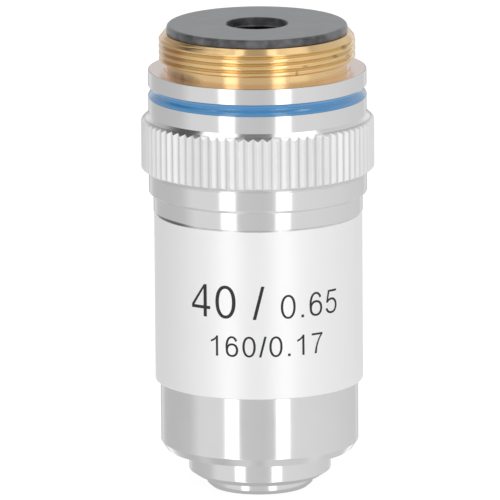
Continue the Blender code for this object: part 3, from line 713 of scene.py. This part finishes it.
def ring_tree():
    """Geometry tree that sets a shape in a ring round the axis."""
    tree, given = start_tree("ring_of_teeth", {"Geometry": "Geometry", "Count": "Int", "Material": "Material"})
    count = given["Count"]
    points = add_node(tree, "GeometryNodePoints", {"Count": count, "Position": (0, 0, 0)})
    share = maths(tree, "DIVIDE", add_node(tree, "GeometryNodeInputIndex").outputs[0], count)
    half_tooth = maths(tree, "DIVIDE", math.pi, count)
    turn = add_node(tree, "ShaderNodeCombineXYZ", {2: plus(tree, times(tree, share, math.tau), half_tooth)})
    placed = add_node(tree, "GeometryNodeInstanceOnPoints", {
        "Points": points.outputs[0], "Instance": given["Geometry"], "Rotation": turn.outputs[0]})
    end_tree(tree, placed.outputs[0], given["Material"])
    return tree


def coil_tree():
    """Geometry tree of a compression spring with one closed turn at each end."""
    tree, given = start_tree("coil", {
        "Wire Radius": "Float", "Coil Radius": "Float", "Bottom": "Float", "Height": "Float",
        "Active Turns": "Float", "Steps": "Int", "Material": "Material"})
    steps, active_turns = given["Steps"], given["Active Turns"]
    turns = plus(tree, active_turns, 2.0)
    line = add_node(tree, "GeometryNodeMeshLine", {"Count": line_of(tree, turns, steps, 1.0)})
    turn = maths(tree, "DIVIDE", add_node(tree, "GeometryNodeInputIndex").outputs[0], steps)
    closed_rise = times(tree, given["Wire Radius"], 2.25)
    active_rise = maths(tree, "DIVIDE", maths(tree, "SUBTRACT", given["Height"], times(tree, closed_rise, 2.0)),
                        active_turns)
    first = times(tree, closed_rise, maths(tree, "MINIMUM", turn, 1.0))
    middle = maths(tree, "MINIMUM", maths(tree, "MAXIMUM", maths(tree, "SUBTRACT", turn, 1.0), 0.0), active_turns)
    last = maths(tree, "MAXIMUM", maths(tree, "SUBTRACT", turn, plus(tree, active_turns, 1.0)), 0.0)
    rise = plus(tree, plus(tree, first, times(tree, middle, active_rise)), times(tree, last, closed_rise))
    angle = times(tree, turn, math.tau)
    place = add_node(tree, "ShaderNodeCombineXYZ", {
        0: times(tree, maths(tree, "COSINE", angle), given["Coil Radius"]),
        1: times(tree, maths(tree, "SINE", angle), given["Coil Radius"]),
        2: plus(tree, rise, given["Bottom"])})
    moved = add_node(tree, "GeometryNodeSetPosition", {"Geometry": line.outputs[0], "Position": place.outputs[0]})
    curve = add_node(tree, "GeometryNodeMeshToCurve", {0: moved.outputs[0]})
    wire = add_node(tree, "GeometryNodeCurvePrimitiveCircle", {"Resolution": 14, "Radius": given["Wire Radius"]})
    swept = add_node(tree, "GeometryNodeCurveToMesh", {"Curve": curve.outputs[0], "Profile Curve": wire.outputs[0],
                                                       "Fill Caps": True})
    end_tree(tree, swept.outputs[0], given["Material"])
    return tree


def tooth_mesh(sizes):
    """One ridge of the knurl, its ends cut along the collar's chamfers and its foot sunk in the collar."""
    crest = sizes.radius / MM
    root = crest - sizes.depth / MM
    half = math.pi * root / sizes.teeth
    side = [(root - 0.12, half), (root, half), (root + 0.015, half - 0.03), (crest - 0.045, 0.10),
            (crest - 0.012, 0.05), (crest, 0.0)]
    section = side + [(r, -t) for r, t in side[-2::-1]]
    shares = [max(r - COLLAR_RADIUS, 0.0) / (crest - COLLAR_RADIUS) for r, _ in section]
    bm = bmesh.new()
    tops = [bm.verts.new(mm(r, t, KNURL_TOP - share * sizes.top_chamfer / MM))
            for (r, t), share in zip(section, shares)]
    feet = [bm.verts.new(mm(r, t, KNURL_BOTTOM + share * sizes.bottom_chamfer / MM))
            for (r, t), share in zip(section, shares)]
    for i in range(len(section)):
        k = (i + 1) % len(section)
        bm.faces.new((tops[i], tops[k], feet[k], feet[i]))
    bm.faces.new(tops[::-1])
    bm.faces.new(feet)
    bmesh.ops.recalc_face_normals(bm, faces=bm.faces)
    return mesh_from(bm, "knurl_tooth", sharp=32)


def oval(x, y, across, up, start, stop, step=9.0, power=0.92):
    """Points of a slightly squared oval from one angle to another, in degrees."""
    count = max(2, round(abs(stop - start) / step))
    ring = []
    for i in range(count + 1):
        a = math.radians(start + (stop - start) * i / count)
        c, s = math.cos(a), math.sin(a)
        ring.append((x + across * math.copysign(abs(c) ** power, c), y + up * math.copysign(abs(s) ** power, s)))
    return ring


def number_shapes(stroke):
    """Outlines and holes of each figure, for a height of 1; the first entry is the space it takes."""
    w, v = stroke, stroke * 0.86
    nought = [oval(0.385, 0.5, 0.322, 0.512, 0, 351), oval(0.385, 0.5, 0.322 - w, 0.512 - v, 0, 351)]
    six = [oval(0.385, 0.5, 0.315, 0.512, 33, 186) + oval(0.39, 0.322, 0.31, 0.334, 188, 496)
           + oval(0.385, 0.5, 0.315 - w, 0.512 - v, 166, 33),
           oval(0.39, 0.322, 0.31 - w, 0.334 - v, 0, 351)]
    five = [[(0.66, 1.0), (0.185, 1.0), (0.085, 0.475), (0.172, 0.463)]
            + oval(0.365, 0.322, 0.322 - w, 0.334 - v, 138, -162)
            + oval(0.365, 0.322, 0.322, 0.334, -164, 120)
            + [(0.262, 1.0 - v), (0.66, 1.0 - v)]]
    four = [[(0.487, 0.0), (0.487 + w, 0.0), (0.487 + w, 0.24), (0.715, 0.24), (0.715, 0.24 + v),
             (0.487 + w, 0.24 + v), (0.487 + w, 1.0), (0.50, 1.0), (0.055, 0.24 + v * 1.1), (0.055, 0.24),
             (0.487, 0.24)],
            [(0.487, 0.24 + v), (0.487, 0.865), (0.145, 0.24 + v)]]
    one = [[(0.415, 0.0), (0.415 + w, 0.0), (0.415 + w, 1.0), (0.45, 1.0), (0.39, 0.915), (0.30, 0.835),
            (0.150, 0.765), (0.150, 0.672), (0.265, 0.72), (0.345, 0.77), (0.415, 0.83)]]
    seven = [[(0.085, 1.0), (0.705, 1.0), (0.705, 0.925), (0.57, 0.745), (0.465, 0.53), (0.395, 0.28),
              (0.36, 0.0), (0.36 - w * 1.05, 0.0), (0.295, 0.27), (0.37, 0.52), (0.475, 0.735),
              (0.585, 1.0 - v), (0.085, 1.0 - v)]]
    slash = [[(0.02, -0.01), (0.02 + w, -0.01), (0.28 + w, 1.01), (0.28, 1.01)]]
    dot = [[(0.135, 0.0), (0.135 + w * 1.15, 0.0), (0.135 + w * 1.15, w * 1.15), (0.135, w * 1.15)]]
    wide, narrow = 0.777, 0.39
    return {"0": (wide, nought), "1": (wide, one), "4": (wide, four), "5": (wide, five),
            "6": (wide, six), "7": (wide, seven), "/": (narrow, slash), ".": (narrow, dot)}


def wrapped_numbers(words, start, base, cap, gap, stroke):
    """Numbers as thin ink bent round the sleeve.

    Start is the arc in millimetres from the sleeve's front, base the height of the line, cap the figures'
    height, and gap and stroke are shares of it.
    """
    shapes = number_shapes(stroke)
    bm = bmesh.new()
    pen = start
    for figure in words:
        advance, loops = shapes[figure]
        placed = [[Vector((pen + x * cap, base + y * cap, 0.0)) for x, y in loop] for loop in loops]
        verts = [bm.verts.new(p) for loop in placed for p in loop]
        for a, b, c in tessellate_polygon(placed):
            bm.faces.new((verts[a], verts[b], verts[c]))
        pen += (advance + gap) * cap
    for i in range(1, math.ceil(pen - start) * 4):
        bmesh.ops.bisect_plane(bm, geom=bm.verts[:] + bm.edges[:] + bm.faces[:],
                               plane_co=(start + i * 0.25, 0.0, 0.0), plane_no=(1.0, 0.0, 0.0))
    bmesh.ops.recalc_face_normals(bm, faces=bm.faces)
    lifted = bmesh.ops.extrude_face_region(bm, geom=bm.faces[:])["geom"]
    outer = {item for item in lifted if isinstance(item, bmesh.types.BMVert)}
    for vert in bm.verts:
        r = SLEEVE_RADIUS + (INK_THICKNESS if vert in outer else -INK_THICKNESS)
        vert.co = on_circle(r, vert.co.x / SLEEVE_RADIUS - math.pi / 2, vert.co.y)
    bmesh.ops.recalc_face_normals(bm, faces=bm.faces)
    return mesh_from(bm, "numbers_line")


# ---------------------------------------------------------------- pieces

def settings():
    """The objective's settings of the current scene."""
    return bpy.context.scene.objective


def finish_of(slot):
    """The finish of a material slot, made once."""
    if slot in bpy.data.materials and "finish" in bpy.data.materials[slot]:
        return bpy.data.materials[slot]
    for old in [m for m in bpy.data.materials if m.name == slot]:
        old.name = slot + "_solid"
    colours = settings().colours
    makers = {
        "chrome": lambda: turned_metal(slot, colours.chrome, 0.13, 0.00007, 0.0000006, collar=True),
        "knurled_chrome": lambda: knurled_metal(slot, colours.chrome, settings().knurl),
        "satin": lambda: satin_metal(slot, colours.satin),
        "brass": lambda: stained_brass(slot, colours.brass, settings().thread.radius),
        "black": lambda: matte_black(slot, colours.black),
        "blue_enamel": lambda: glossy_enamel(slot, colours.blue),
        "spring_steel": lambda: turned_metal(slot, (0.55, 0.55, 0.57), 0.28, 0.00004, 0.000001),
        "glass": lambda: optical_glass(slot),
        "ink": lambda: printed_ink(slot, colours.ink),
    }
    if slot not in makers:
        raise RuntimeError(f"no finish is known for the slot {slot}")
    material = makers[slot]()
    material["finish"] = True
    return material


def seat(piece, body, slot, *nodes):
    """Let a piece ride on its body and stand for its solids; the slot is not used."""
    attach(piece, body)
    if nodes:
        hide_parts(*nodes)


def add_turned(node, body, slot, outline):
    """Turn a piece from its outline and let it stand for its node."""
    seat(turned(node + "_turned", outline, finish_of(slot)), body, slot, node)


class OBJECTIVE_OT_thread_mount(bpy.types.Operator):
    """Build the brass tube with its mounting thread"""
    bl_idname = "objective.thread_mount"
    bl_label = "Thread Mount"

    def execute(self, context):
        piece = helical_mount("thread_mount_turned", settings().thread, finish_of("brass"))
        seat(piece, HOUSING, "brass", "thread_mount")
        return {"FINISHED"}


class OBJECTIVE_OT_rear_stop(bpy.types.Operator):
    """Build the black rear stop"""
    bl_idname = "objective.rear_stop"
    bl_label = "Rear Stop"

    def execute(self, context):
        add_turned("rear_stop", HOUSING, "black", [
            (9.37, 48.90, 0.36), (9.37, 48.07, 0.03), (8.30, 48.07, EDGE), (8.30, 43.60, SOFT_EDGE),
            (6.90, 43.60, SOFT_EDGE), (6.90, 47.90, 0.2), (3.04, 47.90, 0.05), (3.04, 48.00, 0.05),
            (3.20, 48.07, 0.03), (3.20, 48.82, 0.03), (3.28, 48.90, 0.02)])
        return {"FINISHED"}


class OBJECTIVE_OT_grip_collar(bpy.types.Operator):
    """Build the chromed collar with its flange, groove and plain bands"""
    bl_idname = "objective.grip_collar"
    bl_label = "Grip Collar"

    def execute(self, context):
        knurl = settings().knurl
        root = (knurl.radius - knurl.depth) / MM
        share = (root - COLLAR_RADIUS) / (knurl.radius / MM - COLLAR_RADIUS)
        flange = [(COLLAR_RADIUS - 0.13, SHOULDER_Z, 0.02), (COLLAR_RADIUS, SHOULDER_Z - 0.05, 0.03),
                  (COLLAR_RADIUS, FLANGE_BOTTOM, 0.025)]
        groove = [(GROOVE_FLOOR, FLANGE_BOTTOM, EDGE), (GROOVE_FLOOR, GROOVE_BOTTOM, EDGE),
                  (COLLAR_RADIUS, GROOVE_BOTTOM, 0.025)]
        under_teeth = [(COLLAR_RADIUS, KNURL_TOP, 0.03), (root, KNURL_TOP - share * knurl.top_chamfer / MM, 0.02),
                       (root, KNURL_BOTTOM + share * knurl.bottom_chamfer / MM, 0.02),
                       (COLLAR_RADIUS, KNURL_BOTTOM, 0.02)]
        undercut = [(COLLAR_RADIUS - UNDERCUT, KNURL_BOTTOM - 0.02, 0.02),
                    (COLLAR_RADIUS - UNDERCUT, KNURL_BOTTOM - 0.10, 0.02), (COLLAR_RADIUS, KNURL_BOTTOM - 0.14, 0.03)]
        lower_bands = [(COLLAR_RADIUS, STEP_BAND_BOTTOM + STEP_RISE, 0.04),
                       (LOWER_BAND_RADIUS, STEP_BAND_BOTTOM, 0.04), (LOWER_BAND_RADIUS, COLLAR_BOTTOM, 0.07)]
        inside = [(COLLAR_BORE, COLLAR_BOTTOM, SOFT_EDGE), (COLLAR_BORE, COLLAR_LEDGE_Z, EDGE),
                  (MOUNT_SEAT_BORE, COLLAR_LEDGE_Z, EDGE), (MOUNT_SEAT_BORE, RECESS_Z, 0.04),
                  (FOOT_BORE, RECESS_Z, 0.03), (FOOT_BORE, SHOULDER_Z, 0.03)]
        add_turned("grip_collar", HOUSING, "chrome", flange + groove + under_teeth + undercut + lower_bands + inside)
        return {"FINISHED"}


class OBJECTIVE_OT_knurl(bpy.types.Operator):
    """Set the teeth of the straight knurl round the collar"""
    bl_idname = "objective.knurl"
    bl_label = "Knurl"

    def execute(self, context):
        sizes = settings().knurl
        chrome = finish_of("knurled_chrome")
        piece = new_object("knurl_teeth", tooth_mesh(sizes), chrome)
        run_tree(piece, ring_tree(), {"Count": sizes.teeth, "Material": chrome})
        seat(piece, HOUSING, "chrome")
        return {"FINISHED"}


class OBJECTIVE_OT_colour_band(bpy.types.Operator):
    """Build the blue enamel band in the collar's groove"""
    bl_idname = "objective.colour_band"
    bl_label = "Colour Band"

    def execute(self, context):
        add_turned("colour_band", HOUSING, "blue_enamel", [
            (11.24, FLANGE_BOTTOM, 0.01), (10.93, 41.98, 0.12), (11.20, 41.68, 0.35), (11.32, 41.46, 0.2),
            (11.31, GROOVE_BOTTOM, 0.01), (10.60, GROOVE_BOTTOM, EDGE), (10.60, FLANGE_BOTTOM, EDGE)])
        return {"FINISHED"}


class OBJECTIVE_OT_marking_sleeve(bpy.types.Operator):
    """Build the satin sleeve and print its plain numbers"""
    bl_idname = "objective.marking_sleeve"
    bl_label = "Marking Sleeve"

    def execute(self, context):
        chosen = settings()
        add_turned("marking_sleeve", HOUSING, "satin", [
            (SLEEVE_RADIUS - SLEEVE_CHAMFER, SLEEVE_TOP, 0.02), (SLEEVE_RADIUS, SLEEVE_TOP - SLEEVE_CHAMFER, 0.02),
            (SLEEVE_RADIUS, SLEEVE_BOTTOM, 0.14), (10.15, SLEEVE_BOTTOM, EDGE), (10.15, SLEEVE_TOP, EDGE)])
        bm = bmesh.new()
        for line in ((chosen.magnification, -7.66, 19.97, 3.40, 0.055, 0.112), ("/", -0.72, 19.93, 3.43, 0.0, 0.10),
                     (chosen.aperture, 2.11, 19.92, 2.47, 0.055, 0.102),
                     (chosen.tube_and_cover, -5.49, 15.95, 2.14, 0.067, 0.112)):
            bm.from_mesh(wrapped_numbers(*line))
        seat(new_object("printed_numbers", mesh_from(bm, "numbers"), finish_of("ink")), HOUSING, "black")
        return {"FINISHED"}


class OBJECTIVE_OT_body_tube(bpy.types.Operator):
    """Build the main tube with its polished lower end"""
    bl_idname = "objective.body_tube"
    bl_label = "Body Tube"

    def execute(self, context):
        add_turned("body_tube", HOUSING, "chrome", [
            (9.60, 37.88, SOFT_EDGE), (9.60, 29.10, EDGE), (10.05, 29.10, EDGE), (10.05, 11.33, EDGE),
            (10.26, 11.33, 0.04), (10.26, 4.93, 0.1), (9.67, 4.06, 0.08), (7.61, 4.06, 0.04),
            (7.46, 4.21, EDGE), (7.46, 23.91, EDGE), (8.90, 23.91, EDGE), (8.90, 37.88, SOFT_EDGE)])
        return {"FINISHED"}


class OBJECTIVE_OT_nose(bpy.types.Operator):
    """Build the nose cap and the front cell with its lens"""
    bl_idname = "objective.nose"
    bl_label = "Nose"

    def execute(self, context):
        add_turned("nose_cap", LENS_BARREL, "chrome", [
            (5.80, 8.41, EDGE), (5.80, 5.81, EDGE), (7.36, 5.81, EDGE), (7.36, 1.80, 0.1),
            (6.45, 1.21, 0.08), (5.10, 1.21, EDGE), (5.10, 8.41, EDGE)])
        add_turned("front_cell", LENS_BARREL, "chrome", [
            (5.00, 6.61, EDGE), (5.00, 1.11, EDGE), (5.50, 1.11, 0.06), (5.50, 0.40, 0.08), (5.05, 0.0, 0.06),
            (3.20, 0.0, 0.05), (1.50, 0.35, 0.03), (1.50, 0.60, 0.02), (2.50, 0.60, 0.02), (2.50, 3.00, EDGE),
            (3.70, 4.20, EDGE), (3.70, 6.61, EDGE)])
        ball, flat = 2.4, 0.7
        dome = [(ball * math.sin(math.radians(d)), flat + ball * math.cos(math.radians(d)), EDGE)
                for d in range(0, 91, 10)]
        dome[0] = (0.0, flat + ball, EDGE)
        lens = turned("front_lens_ground", dome + [(0.0, flat, EDGE)], finish_of("glass"), closed=False, segments=96)
        seat(lens, LENS_BARREL, "glass", "front_lens")
        return {"FINISHED"}


class OBJECTIVE_OT_return_spring(bpy.types.Operator):
    """Wind the return spring at rest, which the nose presses together as it slides up"""
    bl_idname = "objective.return_spring"
    bl_label = "Return Spring"

    def execute(self, context):
        sizes = settings().spring
        low, high = (corner.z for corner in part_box("return_spring"))
        steel = finish_of("spring_steel")
        piece = new_object("return_spring_wound", bpy.data.meshes.new("return_spring_wound"), steel)
        run_tree(piece, coil_tree(), {
            "Wire Radius": sizes.wire_radius, "Coil Radius": sizes.coil_radius,
            "Bottom": low + sizes.wire_radius, "Height": high - low - 2 * sizes.wire_radius,
            "Active Turns": float(sizes.active_turns), "Steps": 48, "Material": steel})
        piece.data.shade_smooth()
        piece.data.set_sharp_from_angle(angle=math.radians(40))
        seat(piece, HOUSING, "spring_steel", "return_spring")
        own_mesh(piece)
        return {"FINISHED"}


class OBJECTIVE_OT_inner_pieces(bpy.types.Operator):
    """Give the carried-over solids inside the body their finishes"""
    bl_idname = "objective.inner_pieces"
    bl_label = "Inner Pieces"

    def execute(self, context):
        for row in frame["record"]["subparts"]:
            node = frame["nodes"][row["node"]]
            if not node.hide_render:
                for holder in node.material_slots:
                    holder.material = finish_of(row["material_slot"])
        return {"FINISHED"}


class OBJECTIVE_OT_studio(bpy.types.Operator):
    """Build the floor, the surroundings and the camera"""
    bl_idname = "objective.studio"
    bl_label = "Studio"

    def execute(self, context):
        scene = context.scene
        chosen = settings().studio
        scene.view_settings.view_transform = "Standard"
        floor = disc("floor", 3.0, 0.0, 96, floor_paper("floor_paper", chosen.floor_glow))
        floor.visible_glossy = floor.visible_transmission = False
        # The patch that the tip shades, seen only in mirrors: real shade, and painted shade too, as it glows less
        # than the floor round it
        shade = disc("floor_shade", 0.0074, -0.00001, 64, floor_paper("shaded_paper", 0.22))
        shade.visible_camera = shade.visible_diffuse = shade.visible_shadow = False
        build_surroundings(scene, chosen.room_light)
        build_front_light(scene, chosen.front_light)
        build_camera(scene, chosen)
        return {"FINISHED"}


def build_camera(scene, chosen):
    """Long lens from a little above, turned very slightly."""
    aim = Vector((-0.00088, 0.0, 0.0249))
    back = Vector((0.0, -math.cos(chosen.elevation), math.sin(chosen.elevation)))
    data = bpy.data.cameras.new("camera")
    data.lens = chosen.lens
    data.sensor_width = 36.0
    data.clip_start, data.clip_end = 0.05, 50.0
    camera = bpy.data.objects.new("camera", data)
    scene.collection.objects.link(camera)
    turn = (-back).to_track_quat("-Z", "Y").to_matrix().to_4x4() @ Matrix.Rotation(chosen.roll, 4, "Z")
    camera.matrix_world = Matrix.Translation(aim + back * chosen.distance) @ turn
    scene.camera = camera


def build_front_light(scene, power):
    """Large soft light over the camera. Mirrors don't show it."""
    data = bpy.data.lights.new("front_light", "AREA")
    data.energy, data.shape, data.size = power, "SQUARE", 0.5
    light = bpy.data.objects.new("front_light", data)
    place = Vector((0.06, -0.95, 0.32))
    light.matrix_world = Matrix.Translation(place) @ (-place).to_track_quat("-Z", "Y").to_matrix().to_4x4()
    light.visible_glossy = light.visible_camera = False
    scene.collection.objects.link(light)


def curve_through(tree, value, low, high, points):
    """Value of a curve through the given points between two limits."""
    made = add_node(tree, "ShaderNodeFloatCurve", {
        "Value": maths(tree, "DIVIDE", maths(tree, "SUBTRACT", value, low), high - low)})
    line = made.mapping.curves[0]
    spots = [((at - low) / (high - low), level) for at, level in points]
    line.points[0].location, line.points[1].location = spots[0], spots[-1]
    for middle in spots[1:-1]:
        line.points.new(*middle)
    for point in line.points:
        point.handle_type = "VECTOR"
    made.mapping.update()
    return made.outputs[0]


def build_surroundings(scene, strength):
    """Pale room that the metal mirrors, brighter and darker by elevation and azimuth.

    It has a dark card, two panels overhead and soft boxes, the two tallest beside the camera. The camera
    itself sees plain white.
    """
    world = bpy.data.worlds.new("room")
    scene.world = world
    world.use_nodes = True
    tree = world.node_tree
    tree.nodes.clear()
    way = add_node(tree, "ShaderNodeTexCoord").outputs["Generated"]
    x, y, z = add_node(tree, "ShaderNodeSeparateXYZ", {0: way}).outputs
    azimuth = times(tree, maths(tree, "ARCTAN2", x, times(tree, y, -1.0)), math.degrees(1))
    elevation = times(tree, maths(tree, "ARCSINE", z), math.degrees(1))

    def box(middle, half, low, high, blur, light):
        """Light of a soft box given by azimuths and elevations in degrees."""
        off = maths(tree, "ABSOLUTE", maths(tree, "SUBTRACT", azimuth, middle))
        across = ramp_between(tree, off, half + blur, half - blur)
        return times(tree, times(tree, across, band(tree, elevation, low, high, blur)), light)

    def overhead(left, right, near, far, blur, light):
        """Light of a panel over the object, given by the two level parts of its directions."""
        area = times(tree, band(tree, x, left, right, blur), band(tree, y, near, far, blur))
        return times(tree, area, times(tree, ramp_between(tree, z, 0.55, 0.65), light))

    light = curve_through(tree, elevation, -90.0, 90.0, LIGHT_BY_ELEVATION)
    tone = line_of(tree, curve_through(tree, azimuth, -180.0, 180.0, TONE_BY_AZIMUTH), 2.0, -1.0)
    low_down = ramp_between(tree, elevation, 30.0, 0.0)
    light = times(tree, light, line_of(tree, low_down, tone, 1.0))
    behind = times(tree, ramp_between(tree, maths(tree, "ABSOLUTE", azimuth), 148.0, 164.0), 0.1)
    light = plus(tree, light, times(tree, behind, window(tree, elevation, -2.0, 7.0, 30.0, 42.0)))
    light = times(tree, light, maths(tree, "SUBTRACT", 1.0, box(*DARK_CARD)))
    for panel in OVERHEAD_PANELS:
        light = plus(tree, light, overhead(*panel))
    for lamp in SOFT_BOXES:
        light = plus(tree, light, box(*lamp))
    room = add_node(tree, "ShaderNodeBackground", {"Color": light, "Strength": strength})
    white = add_node(tree, "ShaderNodeBackground", {"Color": (1.0, 1.0, 1.0, 1.0), "Strength": 1.0})
    seen = add_node(tree, "ShaderNodeLightPath").outputs["Is Camera Ray"]
    both = add_node(tree, "ShaderNodeMixShader", {0: seen, 1: room.outputs[0], 2: white.outputs[0]})
    add_node(tree, "ShaderNodeOutputWorld", {0: both.outputs[0]})


class OBJECTIVE_PT_panel(bpy.types.Panel):
    """Sidebar panel that lists the objective's pieces"""
    bl_label = "Microscope Objective"
    bl_idname = "OBJECTIVE_PT_panel"
    bl_space_type = "VIEW_3D"
    bl_region_type = "UI"
    bl_category = "Objective"

    def draw(self, context):
        chosen = context.scene.objective
        for group in ("thread", "knurl", "spring", "colours", "studio"):
            part = getattr(chosen, group)
            box = self.layout.box()
            for name in part.__annotations__:
                box.prop(part, name)
        for name in ("magnification", "aperture", "tube_and_cover"):
            self.layout.prop(chosen, name)
        for step in STEPS:
            self.layout.operator(step.bl_idname)


STEPS = (OBJECTIVE_OT_thread_mount, OBJECTIVE_OT_rear_stop, OBJECTIVE_OT_grip_collar, OBJECTIVE_OT_knurl,
         OBJECTIVE_OT_colour_band, OBJECTIVE_OT_marking_sleeve, OBJECTIVE_OT_body_tube, OBJECTIVE_OT_nose,
         OBJECTIVE_OT_return_spring, OBJECTIVE_OT_inner_pieces, OBJECTIVE_OT_studio)
GROUPS = (ThreadSizes, KnurlSizes, SpringSizes, FinishColours, StudioSettings, ObjectiveSettings)
CLASSES = (*GROUPS, *STEPS, OBJECTIVE_PT_panel)


def register():
    """Register the classes and the scene's settings."""
    for cls in CLASSES:
        bpy.utils.register_class(cls)
    bpy.types.Scene.objective = PointerProperty(type=ObjectiveSettings)


def unregister():
    """Take the settings and the classes away again."""
    del bpy.types.Scene.objective
    for cls in reversed(CLASSES):
        bpy.utils.unregister_class(cls)


def main():
    """Register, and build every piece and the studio."""
    register()
    for step in STEPS:
        group, name = step.bl_idname.split(".")
        getattr(getattr(bpy.ops, group), name)()


if __name__ == "__main__":
    main()
